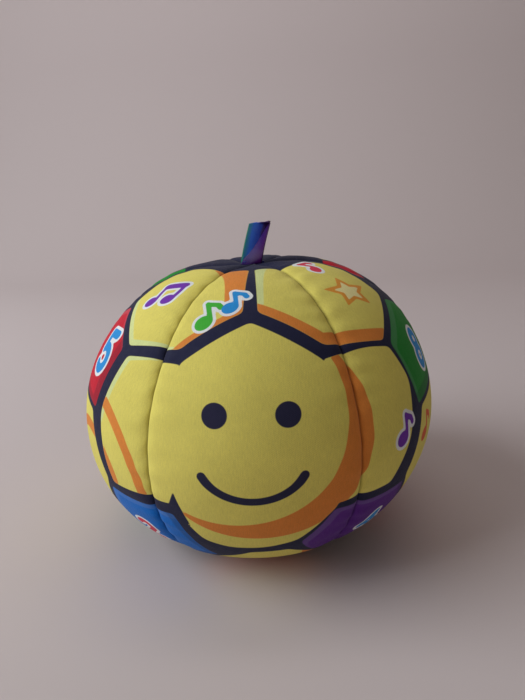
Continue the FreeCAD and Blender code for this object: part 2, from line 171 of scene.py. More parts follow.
# ---------------------------------------------------------------- ball surface


def meridian(step):
    """Radius, height and latitude parameter along the profile, for steps from 0 to 1."""
    angles = np.linspace(0, math.pi / 2, 200)
    low = np.stack(
        [REST_R + (BALL_R - REST_R) * np.cos(angles[::-1]), WIDE_Z - WIDE_Z * np.sin(angles[::-1])], 1
    )
    high = np.stack(
        [CROWN_R + (BALL_R - CROWN_R) * np.cos(angles), WIDE_Z + DOME_H * np.sin(angles)], 1
    )
    line = np.concatenate([[[0, 0]], low, high[1:], [[0, TOP_Z]]])
    run = np.concatenate([[0], np.cumsum(np.linalg.norm(np.diff(line, axis=0), axis=1))])
    at = np.asarray(step) * run[-1]
    return np.interp(at, run, line[:, 0]), np.interp(at, run, line[:, 1]), at


def step_at(height):
    """The step along the meridian at which the ball's side reaches a height."""
    steps = np.linspace(0.2, 0.9, 4001)
    return np.interp(height, meridian(steps)[1], steps)


def seam_relief(lon_rel, radius, along, lon):
    """How far the cover stands in or out, from its seams, stuffing and gathers."""
    seam_run = (HALF_GORE - np.abs(lon_rel)) * math.pi / 180 * radius
    valley = -VALLEY_DEPTH * np.exp(-seam_run / VALLEY_WIDTH)
    fullness = np.clip(radius / BALL_R, 0, 1)
    lobe = LOBE_RISE * (0.6 - (lon_rel / HALF_GORE) ** 2) * fullness
    wave = np.sin(2 * math.pi * along / PUCKER_PITCH + 1.7 * np.sin(along * 90 + lon * 0.11))
    wave = wave * np.exp(-seam_run / (6 * MM)) * (1 - np.exp(-seam_run / (1.2 * MM)))
    pucker = PUCKER_DEPTH * wave * smooth_step(radius, 0.010, 0.040)
    turn = np.radians(lon)
    soft = np.sin(4 * turn + along * 41) * np.sin(along * 67 - 3 * turn + 1.1)
    return (valley + lobe) * smooth_step(radius, 0.0, 0.012) + pucker + 0.35 * MM * soft


def leaned(points):
    """Points moved as the filling has settled: fuller at the upper right and lower left."""
    x, y, rise = points[..., 0], points[..., 1], points[..., 2] - WIDE_Z
    share = 2 * x * rise / np.maximum(x * x + y * y + rise * rise, 1e-9)
    scale = 1 + LEAN * share * smooth_step(points[..., 2], 0.0, 4 * MM)
    return np.stack([x * scale, y * scale, WIDE_Z + rise * scale], -1)


def ball_points(lon_rel, centre, step):
    """Points of the cover for longitudes about a gore's centre and steps along its meridian."""
    radius, height, along = meridian(step)
    lon = lon_rel + centre
    relief = seam_relief(lon_rel, radius, along, lon)
    rad = np.radians(lon)
    outward_r = radius / BALL_R
    outward_z = (height - WIDE_Z) / DOME_H
    size = np.maximum(np.hypot(outward_r, outward_z), 1e-6)
    standing = smooth_step(height, 0.0, 4 * MM)
    moved_r = radius + relief * outward_r / size * standing
    moved_z = height + relief * outward_z / size * standing
    top = smooth_step(height, TOP_Z - 8 * MM, TOP_Z)
    gather = np.cos(np.radians(6 * (lon - HALF_GORE)))
    near_pole = np.exp(-((radius / (9 * MM)) ** 2))
    moved_z = moved_z - top * near_pole * POLE_DIP
    folds = np.exp(-(((radius - 11 * MM) / (8 * MM)) ** 2)) * top
    moved_z = moved_z - folds * 0.7 * MM * (0.5 + 0.5 * gather)
    x = moved_r * np.sin(rad)
    y = -moved_r * np.cos(rad)
    return leaned(np.stack([x, y, moved_z], -1))


def grid_normals(points):
    """Normals of a grid of points."""
    normal = np.cross(np.gradient(points, axis=1), np.gradient(points, axis=0))
    return normal / np.maximum(np.linalg.norm(normal, axis=2, keepdims=True), 1e-12)


def round_normals(lon, radius, height):
    """Normals of the smooth round surface, the same on both sides of a seam."""
    dr, dz = np.gradient(radius)[:, None], np.gradient(height)[:, None]
    size = np.hypot(dr, dz)
    rad = np.radians(lon)
    return np.stack([dz * np.sin(rad), -dz * np.cos(rad), -dr + 0 * rad], -1) / size[..., None]


def shell(name, points, present, thickness, normals):
    """A closed sheet from a grid of points. present says which of the grid's cells are there."""
    rows, columns = points.shape[:2]
    inner = points - normals * thickness
    vertices = np.concatenate([points.reshape(-1, 3), inner.reshape(-1, 3)])
    count = rows * columns
    index = np.arange(count).reshape(rows, columns)
    quads = np.stack([index[:-1, :-1], index[:-1, 1:], index[1:, 1:], index[1:, :-1]], -1)
    outer = quads[present]
    faces = [outer, outer[:, ::-1] + count]
    padded = np.pad(present, 1)
    around = (
        (padded[:-2, 1:-1], 0, 1),
        (padded[1:-1, 2:], 1, 2),
        (padded[2:, 1:-1], 2, 3),
        (padded[1:-1, :-2], 3, 0),
    )
    for neighbour, first, second in around:
        edge = quads[present & ~neighbour]
        a, b = edge[:, first], edge[:, second]
        faces.append(np.stack([b, a, a + count, b + count], -1))
    face_list = np.concatenate(faces)
    obj = new_object(name, vertices, face_list)
    lining = np.arange(len(face_list)) // len(outer) == 1
    obj.data.polygons.foreach_set("material_index", lining.astype(np.int32))
    return obj


def opening_angle(radius):
    """Half the opening's width as a longitude, at that radius."""
    return np.degrees(np.arcsin(np.clip(OPENING_HALF / np.maximum(radius, 1e-4), 0, 0.44)))


def gore_columns(radius, has_opening):
    """Longitudes of one row's columns, closer together at the seams."""
    even = np.linspace(-1, 1, COLUMNS + 1)
    packed = np.sin(even * math.pi / 2 * 0.82) / math.sin(math.pi / 2 * 0.82)
    if not has_opening:
        return np.tile(packed * HALF_GORE, (len(radius), 1))
    edge = opening_angle(radius)[:, None]
    share = COLUMNS // 3
    side = np.linspace(0, 1, share + 1)[None]
    left = -HALF_GORE + (HALF_GORE - edge) * side
    middle = -edge + 2 * edge * np.linspace(0, 1, COLUMNS - 2 * share + 1)[None]
    return np.concatenate([left[:, :-1], middle, -left[:, ::-1][:, 1:]], 1)


def row_steps(snap_to):
    """Steps along the meridian, with a row at each of the given heights."""
    steps = np.linspace(0, 1, ROWS + 1)
    _, height, _ = meridian(steps)
    for z in snap_to:
        steps[np.abs(height - z).argmin()] = step_at(z)
    return steps


def make_gore(name):
    """One printed gore as a closed sheet."""
    has_opening = name == "back"
    steps = row_steps(OPENING_Z if has_opening else ())
    radius, height, along = meridian(steps)
    lon_rel = gore_columns(radius, has_opening)
    step_grid = np.repeat(steps[:, None], lon_rel.shape[1], 1)
    points = ball_points(lon_rel, GORE_LON[name], step_grid)
    present = np.ones((lon_rel.shape[0] - 1, lon_rel.shape[1] - 1), bool)
    if has_opening:
        share = COLUMNS // 3
        rows = (height[:-1] >= OPENING_Z[0] - 1e-6) & (height[1:] <= OPENING_Z[1] + 1e-6)
        present[np.ix_(rows, np.arange(share, COLUMNS - share))] = False
    normals = round_normals(lon_rel + GORE_LON[name], radius, height)
    obj = shell("cover_" + name, points, present, COVER_T, normals)
    lat, around = np.broadcast_arrays(latitude(height)[:, None], radius[:, None], lon_rel)[:2]
    run = np.broadcast_to(along[:, None], lon_rel.shape)
    finish_cover(obj, lon_rel + GORE_LON[name], lat, lon_rel, run, around, PRINT_SHIFT.get(name, 0))
    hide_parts("gore_" + name)
    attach(obj, "ball")


def make_flap():
    """The closure flap, flush with the gore round it."""
    columns, rows = 72, 56
    z = np.linspace(OPENING_Z[0] + FLAP_LOWER_GAP, OPENING_Z[1] - FLAP_GAP, rows + 1)
    steps = step_at(z)
    radius, _, along = meridian(steps)
    edge = np.degrees(np.arcsin((OPENING_HALF - FLAP_GAP) / radius))
    lon_rel = edge[:, None] * np.linspace(-1, 1, columns + 1)[None]
    step_grid = np.repeat(steps[:, None], columns + 1, 1)
    points = ball_points(lon_rel, GORE_LON["back"], step_grid)
    across = (1 - np.abs(np.linspace(-1, 1, columns + 1))) * OPENING_HALF
    upward = np.minimum(z - z[0], z[-1] - z)
    from_edge = np.minimum(across[None], upward[:, None])
    hem = 0.45 * MM * np.exp(-from_edge / (1.1 * MM))
    hem += 0.2 * MM * np.exp(-(((from_edge - 3 * MM) / (0.5 * MM)) ** 2))
    normals = round_normals(lon_rel + GORE_LON["back"], radius, z)
    points = points - normals * hem[:, :, None]
    obj = shell("closure_flap_cover", points, np.ones((rows, columns), bool), COVER_T, normals)
    lat, run, around, _ = np.broadcast_arrays(
        latitude(z)[:, None], along[:, None], radius[:, None], lon_rel
    )
    finish_cover(obj, lon_rel + GORE_LON["back"], lat, lon_rel, run, around, 0)
    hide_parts("closure_flap")
    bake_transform(obj)


# ---------------------------------------------------------------- printed pattern

# Sizes in the print are in millimetres on the cloth
PRINT_R = 80.0
EAST_R = 87.0
NORTH_R = 72.5
FAR = -50.0
LEFT_RIGHT = (-1, 1)
FACE_PLACE = (0, 12)  # longitude and latitude of the smiley's middle
FACE_SIZE = 38.0  # radius of the circle that the smiley is spaced in, in millimetres

# Corners of the printed panels, as longitude and latitude in degrees
FACE_CORE = (
    (0, 51), (22.5, 36), (23, -12), (12, -29), (2, -32.5), (-8, -32), (-15, -28), (-22, -12), (-22.5, 36)
)
FACE_LEFT = ((-22, 36), (-30, 36.5), (-45, 34.5), (-50.5, 14), (-49, 0), (-46, -13.5), (-30, -12), (-22, -11))
FACE_RIGHT = ((22, 36.5), (37, 38), (48, 35.5), (54, 15), (49, 5), (46.5, -11), (31, -12), (22, -12))
SEAM_SPIKE = ((-21.5, -5), (-24.5, -14), (-18, -20))
UPPER_HEXAGON = ((3, 83), (3, 55), (24, 41), (47, 38), (70, 53), (76, 68), (70, 82))
SIDE_TOP = ((82, 80), (80, 62), (90, 55), (100, 62), (98, 80))
SIDE_CORE = ((78, 14.5), (90, 38), (102, 14.5), (104, -36), (90, -40), (76, -36))
SIDE_WING = ((57, 11.5), (80, 14.8), (80, -37), (58, -32), (50, -13))
SIDE_WING_FAR = ((123, 11.5), (100, 14.8), (100, -37), (122, -32), (130, -13))
UPPER_PENTAGON = ((50, 36), (70, 50), (86, 42), (77, 17), (55, 13))
LOWER_LEFT = ((-49, -17), (-23, -16), (-14, -44), (-33, -56), (-55, -38))
LOWER_RIGHT = ((49, -16), (22, -14.5), (13.5, -31), (17, -40), (33, -56), (56, -34))
SIDE_BOTTOM = ((64, -51), (90, -46), (116, -51), (106, -74), (74, -74))
BOTTOM = ((-12, -45), (-2, -37), (10, -36.5), (17, -43), (30, -58), (10, -75), (-10, -75), (-30, -60))


def direction(lon, lat):
    """Unit vector of a longitude and latitude, in degrees."""
    lon, lat = np.radians(lon), np.radians(lat)
    return np.stack([np.cos(lat) * np.sin(lon), -np.cos(lat) * np.cos(lon), np.sin(lat)], -1)


def smooth_min(a, b, k):
    return -smooth_max(-a, -b, k)


def panel(d, corners, corner=1.6):
    """How far inside a convex panel each direction is. Its edges are great circles."""
    points = direction(*np.array(corners, float).T)
    middle = points.mean(0)
    inside = None
    for a, b in zip(points, np.roll(points, -1, 0)):
        normal = np.cross(a, b)
        normal *= np.sign(normal @ middle) / np.linalg.norm(normal)
        edge = PRINT_R * np.arcsin(np.clip(d @ normal, -1, 1))
        inside = edge if inside is None else smooth_min(inside, edge, corner)
    return np.where(d @ middle > 0, inside, FAR)


def mirrored(corners):
    return [(-lon, lat) for lon, lat in corners]


def union(*shapes):
    return np.maximum.reduce(shapes)


def overlap(*shapes):
    return np.minimum.reduce(shapes)


def local(d, lon, lat, turn=0.0):
    """Coordinates on the cloth about a point: u to the right, v up, turned anticlockwise."""
    centre = direction(lon, lat)
    east = direction(lon + 90, 0)
    north = np.cross(centre, east)
    angle = np.arccos(np.clip(d @ centre, -1, 1))
    stretch = angle / np.maximum(np.sin(angle), 1e-6)
    flat_r = (CROWN_R if lat > 0 else REST_R) / MM
    east_r = EAST_R - flat_r + flat_r / math.cos(math.radians(lat))
    u = np.where(angle < 1.5, east_r * stretch * (d @ east), 1e3)
    v = np.where(angle < 1.5, NORTH_R * stretch * (d @ north), 1e3)
    c, s = math.cos(math.radians(turn)), math.sin(math.radians(turn))
    return u * c + v * s, v * c - u * s


def disc(u, v, cu, cv, radius):
    return radius - np.hypot(u - cu, v - cv)


def oval(u, v, cu, cv, ru, rv, tilt=0.0):
    """How far inside an ellipse, near enough at its edge."""
    c, s = math.cos(math.radians(tilt)), math.sin(math.radians(tilt))
    a = (u - cu) * c + (v - cv) * s
    b = (v - cv) * c - (u - cu) * s
    size = np.hypot(a / ru, b / rv)
    slope = np.hypot(a / ru**2, b / rv**2)
    return (1 - size) * size / np.maximum(slope, 1e-3 / max(ru, rv))


def stroke(u, v, points, width):
    """How far inside a line of that width through the points."""
    nearest = np.full(np.shape(u), 1e3)
    for (au, av), (bu, bv) in zip(points[:-1], points[1:]):
        du, dv = bu - au, bv - av
        along = np.clip(((u - au) * du + (v - av) * dv) / (du * du + dv * dv), 0, 1)
        nearest = np.minimum(nearest, np.hypot(u - au - along * du, v - av - along * dv))
    return width / 2 - nearest


def arc(cu, cv, radius, start, end, count=14):
    """Points on a circle's arc, from one angle to another in degrees."""
    angles = np.radians(np.linspace(start, end, count))
    return [(cu + radius * math.cos(a), cv + radius * math.sin(a)) for a in angles]


def single_note(u, v, size):
    """A quaver: a tilted head, a stem and a curved flag."""
    head = oval(u, v, -0.1 * size, -0.26 * size, 0.27 * size, 0.22 * size, 22)
    stem = stroke(u, v, [(0.1 * size, -0.25 * size), (0.1 * size, 0.4 * size)], 0.14 * size)
    flag = [(0.12 * size, 0.36 * size), (0.36 * size, 0.24 * size), (0.42 * size, 0.1 * size)]
    return union(head, stem, stroke(u, v, flag, 0.17 * size))


def double_note(u, v, size):
    """Two quavers joined by a sloping beam."""
    left = oval(u, v, -0.38 * size, -0.36 * size, 0.21 * size, 0.17 * size, 22)
    right = oval(u, v, 0.2 * size, -0.26 * size, 0.21 * size, 0.17 * size, 22)
    left_stem = stroke(u, v, [(-0.23 * size, -0.33 * size), (-0.23 * size, 0.3 * size)], 0.12 * size)
    right_stem = stroke(u, v, [(0.35 * size, -0.23 * size), (0.35 * size, 0.4 * size)], 0.12 * size)
    beam = stroke(u, v, [(-0.2 * size, 0.25 * size), (0.32 * size, 0.35 * size)], 0.24 * size)
    return union(left, right, left_stem, right_stem, beam)


def star(u, v, size):
    """A five-pointed star with rounded points."""
    fifth = 2 * math.pi / 5
    around = np.abs((np.arctan2(u, v) + fifth / 2) % fifth - fifth / 2)
    reach = np.hypot(u, v)
    tip, notch = 0.5 * size, 0.25 * size
    notch_u, notch_v = notch * math.sin(fifth / 2), notch * math.cos(fifth / 2)
    normal_u, normal_v = tip - notch_v, notch_u
    length = math.hypot(normal_u, normal_v)
    edge = ((reach * np.sin(around)) * normal_u + (reach * np.cos(around) - tip) * normal_v) / length
    return -edge


def figure(u, v, number, size, width):
    """A rounded number drawn with one stroke width."""
    h = size / 2
    if number == 2:
        top = arc(0, 0.42 * h, 0.52 * h, 165, -40)
        return stroke(u, v, top + [(-0.5 * h, -h), (0.6 * h, -h)], width)
    if number == 4:
        slope = [(0.28 * h, -h), (0.28 * h, h), (-0.62 * h, -0.35 * h), (0.66 * h, -0.35 * h)]
        return stroke(u, v, slope, width)
    if number == 5:
        bowl = arc(-0.02 * h, -0.36 * h, 0.6 * h, 125, -145)
        return stroke(u, v, [(0.5 * h, h), (-0.38 * h, h), (-0.4 * h, 0.1 * h)] + bowl, width)
    upper = arc(0, 0.5 * h, 0.46 * h, 0, 360, 24)
    lower = arc(0, -0.48 * h, 0.55 * h, 0, 360, 24)
    return union(stroke(u, v, upper, width), stroke(u, v, lower, width))


def shifted_band(d, corners, lon, lat):
    """The part of a panel that a copy of it, moved by that much, leaves bare."""
    moved = [(a + lon, b + lat) for a, b in corners]
    return overlap(panel(d, corners), -panel(d, moved))


def edge_band(d, shape, start, end, width):
    """The part of a shape within a width of the great circle from start to end, on its left."""
    normal = np.cross(direction(*start), direction(*end))
    side = PRINT_R * np.arcsin(np.clip(d @ (normal / np.linalg.norm(normal)), -1, 1))
    return overlap(shape, width - side)


def yellow_fields(d, front):
    """The yellow panels, with their orange shade and pale highlights."""
    spike = np.where(front > 0, panel(d, SEAM_SPIKE, 0.4), FAR)
    core, left, right = (panel(d, p) for p in (FACE_CORE, FACE_LEFT, FACE_RIGHT))
    face = overlap(union(core, left, right), -spike)
    side_l, side_r = (
        union(*(panel(d, p if s > 0 else mirrored(p)) for p in (SIDE_CORE, SIDE_WING, SIDE_WING_FAR)))
        for s in LEFT_RIGHT
    )
    hexagon_l = panel(d, mirrored(UPPER_HEXAGON))
    hexagon_r = panel(d, UPPER_HEXAGON)
    bottom = panel(d, BOTTOM)

    u, v = local(d, *FACE_PLACE)
    crescent = overlap(-disc(u, v, -8, 9, 46), disc(u, v, 3, 0, 47))
    ring_u, ring_v = local(d, -60, -12)
    rings = union(*(2.6 - np.abs(np.hypot(ring_u, ring_v) - r) for r in (40, 22)))
    orange = union(
        overlap(face, crescent),
        overlap(union(side_l, left), rings, -u),
        edge_band(d, hexagon_l, (-3, 55), (-3, 83), 6.0),
        edge_band(d, hexagon_l, (-24, 41), (-3, 55), 2.6),
        edge_band(d, hexagon_r, (3, 55), (24, 41), 4.5),
        edge_band(d, hexagon_r, (24, 41), (47, 38), 6.0),
        overlap(side_r, NORTH_R * (-0.42 - np.arcsin(np.clip(d[:, 2], -1, 1)))),
        overlap(bottom, -disc(*local(d, 0, -50), 0, 6, 20)),
    )
    pale = union(
        edge_band(d, hexagon_l, (-70, 53), (-47, 38), 2.6),
        edge_band(d, hexagon_l, (-47, 39.5), (-24, 41), 1.2),
        edge_band(d, hexagon_r, (3, 83), (3, 55), 2.0),
        edge_band(d, left, (-45, 34.5), (-50.5, 14), 2.6),
        edge_band(d, left, (-27, 36.8), (-45, 33.2), 0.6),
    )
    return {
        "yellow": union(face, side_l, side_r, hexagon_l, hexagon_r, bottom),
        "orange": orange,
        "pale": overlap(pale, -orange),
    }


def coloured_fields(d):
    """The red, green, blue and purple panels, with lighter and darker edges."""
    red = union(panel(d, mirrored(UPPER_PENTAGON)), panel(d, SIDE_TOP))
    green = union(panel(d, UPPER_PENTAGON), panel(d, mirrored(SIDE_TOP)))
    tops = [mirrored(UPPER_PENTAGON), UPPER_PENTAGON]
    lows = [LOWER_LEFT, LOWER_RIGHT]
    return {
        "red": union(red, panel(d, SIDE_BOTTOM)),
        "green": union(green, panel(d, mirrored(SIDE_BOTTOM))),
        "blue": panel(d, LOWER_LEFT),
        "purple": panel(d, LOWER_RIGHT),
        "lighter": union(*(shifted_band(d, p, 2.0, -2.4) for p in tops + lows)),
        "darker": union(*(shifted_band(d, p, -3.4, 3.0) for p in tops + lows)),
    }


def face_fields(d):
    """A plain, even smiley: two round dots and a curved line, spaced within one circle."""
    u, v = local(d, *FACE_PLACE)
    eyes = disc(np.abs(u), v, 0.36 * FACE_SIZE, 0.32 * FACE_SIZE, 0.13 * FACE_SIZE)
    smile = stroke(u, v, arc(0, 0, 0.6 * FACE_SIZE, -150, -30, 24), 0.1 * FACE_SIZE)
    return {"face_ink": union(eyes, smile)}


def glyph_list(d, side):
    """Notes and numbers as (colour, shape, width of the white edge), for front or back."""
    if side > 0:
        return [
            ("note_purple", double_note(*local(d, -49, 62, 12), 18), 1.4),
            ("note_green", single_note(*local(d, -18, 54.5, 24), 15.5), 1.3),
            ("note_blue", single_note(*local(d, -8, 60.5, 14), 14), 1.3),
            ("note_red", single_note(*local(d, 52, 78, 20), 13), 1.6),
            ("note_purple", single_note(*local(d, 45.5, 8, 0), 14.5), 1.4),
            ("note_orange", single_note(*local(d, 60, 3, 0), 15), -0.2),
            ("note_blue", double_note(*local(d, 77, -15, 4), 21), 1.6),
            ("note_blue", figure(*local(d, -62, 32, 4), 5, 18, 4.6), 1.5),
            ("note_blue", figure(*local(d, 69, 29, -6), 8, 16, 4.0), 1.5),
            ("note_red", figure(*local(d, -39, -36, 0), 2, 15, 3.4), 1.6),
            ("note_blue", figure(*local(d, 40, -34, 0), 4, 15, 3.4), 1.6),
        ]
    return [
        ("note_blue", double_note(*local(d, 0, 12, 0), 44), 2.2),
        ("note_green", single_note(*local(d, -34, 18, 10), 22), 1.6),
        ("note_purple", single_note(*local(d, 36, 20, -10), 22), 1.6),
        ("note_green", double_note(*local(d, -42, 60, 8), 18), 1.4),
        ("note_purple", double_note(*local(d, 77, -15, 4), 21), 1.6),
        ("note_green", figure(*local(d, -77, -14, 0), 5, 20, 4.6), 1.6),
        ("note_red", single_note(*local(d, 44, 60, -8), 15), 1.4),
        ("note_blue", figure(*local(d, -62, 32, 4), 2, 17, 3.6), 1.6),
        ("note_red", figure(*local(d, 69, 29, -6), 4, 15, 3.4), 1.6),
        ("note_red", figure(*local(d, -39, -36, 0), 5, 15, 3.4), 1.6),
        ("note_blue", figure(*local(d, 40, -34, 0), 8, 15, 3.4), 1.6),
    ]


GLYPH_COLOURS = ("note_purple", "note_green", "note_blue", "note_red", "note_orange")


def glyph_fields(d, side):
    """The notes, numbers and star, each with a white edge."""
    fields = {name: np.full(len(d), FAR) for name in ("white",) + GLYPH_COLOURS}
    for colour, shape, edge in glyph_list(d, side):
        fields[colour] = union(fields[colour], shape)
        fields["white"] = union(fields["white"], shape + edge)
    place = (50, 59, -12) if side > 0 else (0, -52, 0)
    u, v = local(d, *place)
    fields["star_edge"] = star(u, v * 1.15, 20) + 1.0
    fields["star"] = star(u, v * 1.15, 20) - 1.0
    return fields


def print_fields(lon, lat):
    """Every colour's region as a distance inside its edge, in millimetres, for each point."""
    front = np.cos(np.radians(lon))
    d = direction(lon, lat)
    folded = d.copy()
    folded[:, 1] = -np.abs(d[:, 1])
    fields = yellow_fields(folded, front)
    fields.update(coloured_fields(folded))
    face = face_fields(d)
    fields.update({k: np.where(front > 0, f, FAR) for k, f in face.items()})
    ahead = glyph_fields(folded, 1)
    behind = glyph_fields(folded * (-1, 1, 1), -1)
    fields.update({k: np.where(front > 0, ahead[k], behind[k]) for k in ahead})
    below_cap = PRINT_R * np.radians(np.where(front > 0, 84, 76) - lat)
    fields = {k: overlap(f, below_cap) for k, f in fields.items()}
    fields["cap_line"] = 0.35 - 1.2 * np.abs(lat - 87.3)
    return fields


def latitude(height):
    """Latitude of a height on the profile, in degrees: 90 at the crown and -90 at the base."""
    rise = np.where(height > WIDE_Z, DOME_H, WIDE_Z)
    return np.degrees(np.arcsin(np.clip((height - WIDE_Z) / rise, -1, 1)))


# ---------------------------------------------------------------- materials


class Shader:
    """A node tree being built from named inputs and small helpers."""

    def __init__(self, name):
        self.material = bpy.data.materials.new(name)
        self.material.use_nodes = True
        self.nodes = self.material.node_tree.nodes
        self.links = self.material.node_tree.links
        self.base = self.nodes["Principled BSDF"]

    def add(self, kind, settings=None, **values):
        """A node, with its settings and its inputs given as numbers or sockets."""
        node = self.nodes.new(kind)
        for key, value in (settings or {}).items():
            setattr(node, key, value)
        for key, value in values.items():
            self.put(node, key.replace("_", " "), value)
        return node

    def put(self, node, key, value):
        socket = node.inputs[int(key) if key.isdigit() else key]
        if isinstance(value, bpy.types.NodeSocket):
            self.links.new(value, socket)
        else:
            socket.default_value = value

    def finish(self, **values):
        """Sets the principled shader's own inputs."""
        for key, value in values.items():
            self.put(self.base, key.replace("_", " "), value)
        return self.material

    def attribute(self, name):
        return self.add("ShaderNodeAttribute", {"attribute_name": name}).outputs["Fac"]

    def place(self):
        return self.add("ShaderNodeTexCoord").outputs["Object"]

    def math(self, operation, a, b=0.0):
        node = self.add("ShaderNodeMath", {"operation": operation})
        self.put(node, "0", a)
        self.put(node, "1", b)
        return node.outputs[0]

    def remap(self, value, low, high, to_low=0.0, to_high=1.0):
        """A value stretched from one range to another and clamped."""
        node = self.add("ShaderNodeMapRange", Value=value)
        for key, number in zip(("From Min", "From Max", "To Min", "To Max"), (low, high, to_low, to_high)):
            node.inputs[key].default_value = number
        return node.outputs[0]

    def mix(self, factor, a, b, blend="MIX"):
        node = self.add("ShaderNodeMix", {"data_type": "RGBA", "blend_type": blend})
        self.put(node, "0", factor)
        self.put(node, "6", a)
        self.put(node, "7", b)
        return node.outputs[2]

    def noise(self, scale, detail=3.0, vector=None, roughness=0.55):
        vector = vector or self.place()
        node = self.add("ShaderNodeTexNoise", Vector=vector, Scale=scale, Detail=detail, Roughness=roughness)
        return node.outputs["Fac"]

    def ramp(self, factor, stops):
        """Colours along a factor, from (position, sRGB colour) stops."""
        node = self.add("ShaderNodeValToRGB", Fac=factor)
        elements = node.color_ramp.elements
        while len(elements) < len(stops):
            elements.new(0.5)
        for element, (position, colour) in zip(elements, stops):
            element.position = position
            element.color = linear(colour)
        node.color_ramp.interpolation = "EASE"
        return node.outputs["Color"]

    def bump(self, height, distance, strength=1.0, normal=None):
        node = self.add("ShaderNodeBump", Height=height, Distance=distance, Strength=strength)
        if normal is not None:
            self.put(node, "Normal", normal)
        return node.outputs["Normal"]


NAVY = (33, 36, 66)
PRINT_COLOURS = (
    ("yellow", (236, 224, 112)),
    ("orange", (232, 142, 62)),
    ("pale", (224, 234, 160)),
    ("red", (206, 24, 50)),
    ("green", (26, 142, 48)),
    ("blue", (2, 112, 208)),
    ("purple", (92, 36, 138)),
    ("white", (240, 244, 246)),
    ("star_edge", (238, 160, 56)),
    ("star", (250, 240, 170)),
    ("note_purple", (118, 52, 178)),
    ("note_green", (70, 186, 60)),
    ("note_blue", (40, 150, 226)),
    ("note_red", (226, 52, 84)),
    ("note_orange", (226, 104, 60)),
    ("face_ink", (42, 42, 70)),
    ("cap_line", (84, 80, 116)),
)
EDGE = 0.14  # half the width over which one printed colour gives way to the next, in millimetres


def knit(shader, across, along):
    """Height of fine knitted loops from two coordinates in metres."""
    pitch = 2 * math.pi / (0.95 * MM)
    wale = shader.math("SINE", shader.math("MULTIPLY", across, pitch))
    course = shader.math("SINE", shader.math("MULTIPLY", along, pitch * 1.3))
    loops = shader.math("MULTIPLY", wale, course)
    return shader.remap(loops, -1, 1)


def printed_cloth():
    """Smooth printed knit with a short nap, and painted shade along its seams."""
    s = Shader("printed_knit")
    colour = linear(NAVY)
    for name, shade in PRINT_COLOURS:
        inside = s.remap(s.attribute(name), -EDGE, EDGE)
        if name == "white":
            lighter = s.remap(s.attribute("lighter"), -0.5, 0.5, 0.0, 0.07)
            darker = s.remap(s.attribute("darker"), -0.5, 0.5, 0.0, 0.35)
            colour = s.mix(lighter, colour, linear((214, 226, 246)))
            colour = s.mix(darker, colour, linear((22, 22, 46)))
        colour = s.mix(inside, colour, linear(shade))
    drawn = s.math("MULTIPLY", s.attribute("along"), 0.12)
    ribs = s.add("ShaderNodeCombineXYZ", X=s.attribute("across"), Y=drawn)
    streaks = s.noise(2400, 2, ribs.outputs[0])
    mottle = s.remap(s.noise(46, 4), 0.3, 0.7, 0.94, 1.04)
    grain = s.remap(s.noise(2600, 2), 0.25, 0.75, 0.92, 1.06)
    grain = s.math("MULTIPLY", grain, s.remap(streaks, 0.3, 0.7, 0.93, 1.04))
    # Painted shade: the colour darkens to 0.6 within 0.9 mm of each seam, standing in for the shade in the
    # seam's groove.
    seam_painted_shade = s.remap(s.attribute("seam_run"), 0.0, 0.9, 0.6, 1.0)
    shade = s.math("MULTIPLY", s.math("MULTIPLY", mottle, grain), seam_painted_shade)
    grey = s.add("ShaderNodeCombineColor", Red=shade, Green=shade, Blue=shade).outputs[0]
    colour = s.mix(1.0, colour, grey, "MULTIPLY")
    loops = knit(s, s.attribute("across"), s.attribute("along"))
    normal = s.bump(loops, 0.09 * MM, 0.5)
    normal = s.bump(s.noise(1500, 3), 0.16 * MM, 0.4, normal)
    normal = s.bump(streaks, 0.16 * MM, 0.35, normal)
    normal = s.bump(s.noise(90, 3), 0.5 * MM, 0.5, normal)
    rough = s.remap(s.noise(420, 3), 0.3, 0.7, 0.7, 0.86)
    return s.finish(
        Base_Color=colour,
        Roughness=rough,
        Normal=normal,
        Sheen_Weight=0.07,
        Sheen_Roughness=0.5,
        Specular_IOR_Level=0.16,
    )


def plain_cloth(name, colour, pitch=0.9, sheen=0.2, depth=0.2, mottle=0.12):
    """A woven or knitted cloth of one colour."""
    s = Shader(name)
    place = s.place()
    split = s.add("ShaderNodeSeparateXYZ", Vector=place)
    wave = 2 * math.pi / (pitch * MM)
    rows = s.math("SINE", s.math("MULTIPLY", split.outputs["Z"], wave))
    side = s.math("ADD", split.outputs["X"], s.math("MULTIPLY", split.outputs["Y"], 0.7))
    threads = s.math("SINE", s.math("MULTIPLY", side, wave))
    weave = s.remap(s.math("MULTIPLY", rows, threads), -1, 1)
    tone = s.remap(s.noise(160, 4), 0.3, 0.7, 1 - mottle, 1 + mottle)
    thread_tone = s.math("MULTIPLY", tone, s.remap(weave, 0, 1, 0.82, 1.05))
    grey = s.add("ShaderNodeCombineColor", Red=thread_tone, Green=thread_tone, Blue=thread_tone).outputs[0]
    normal = s.bump(weave, depth * MM, 0.8)
    normal = s.bump(s.noise(1800, 3), 0.1 * MM, 0.5, normal)
    return s.finish(
        Base_Color=s.mix(1.0, linear(colour), grey, "MULTIPLY"),
        Roughness=s.remap(s.noise(300), 0.3, 0.7, 0.78, 0.92),
        Normal=normal,
        Sheen_Weight=sheen,
    )


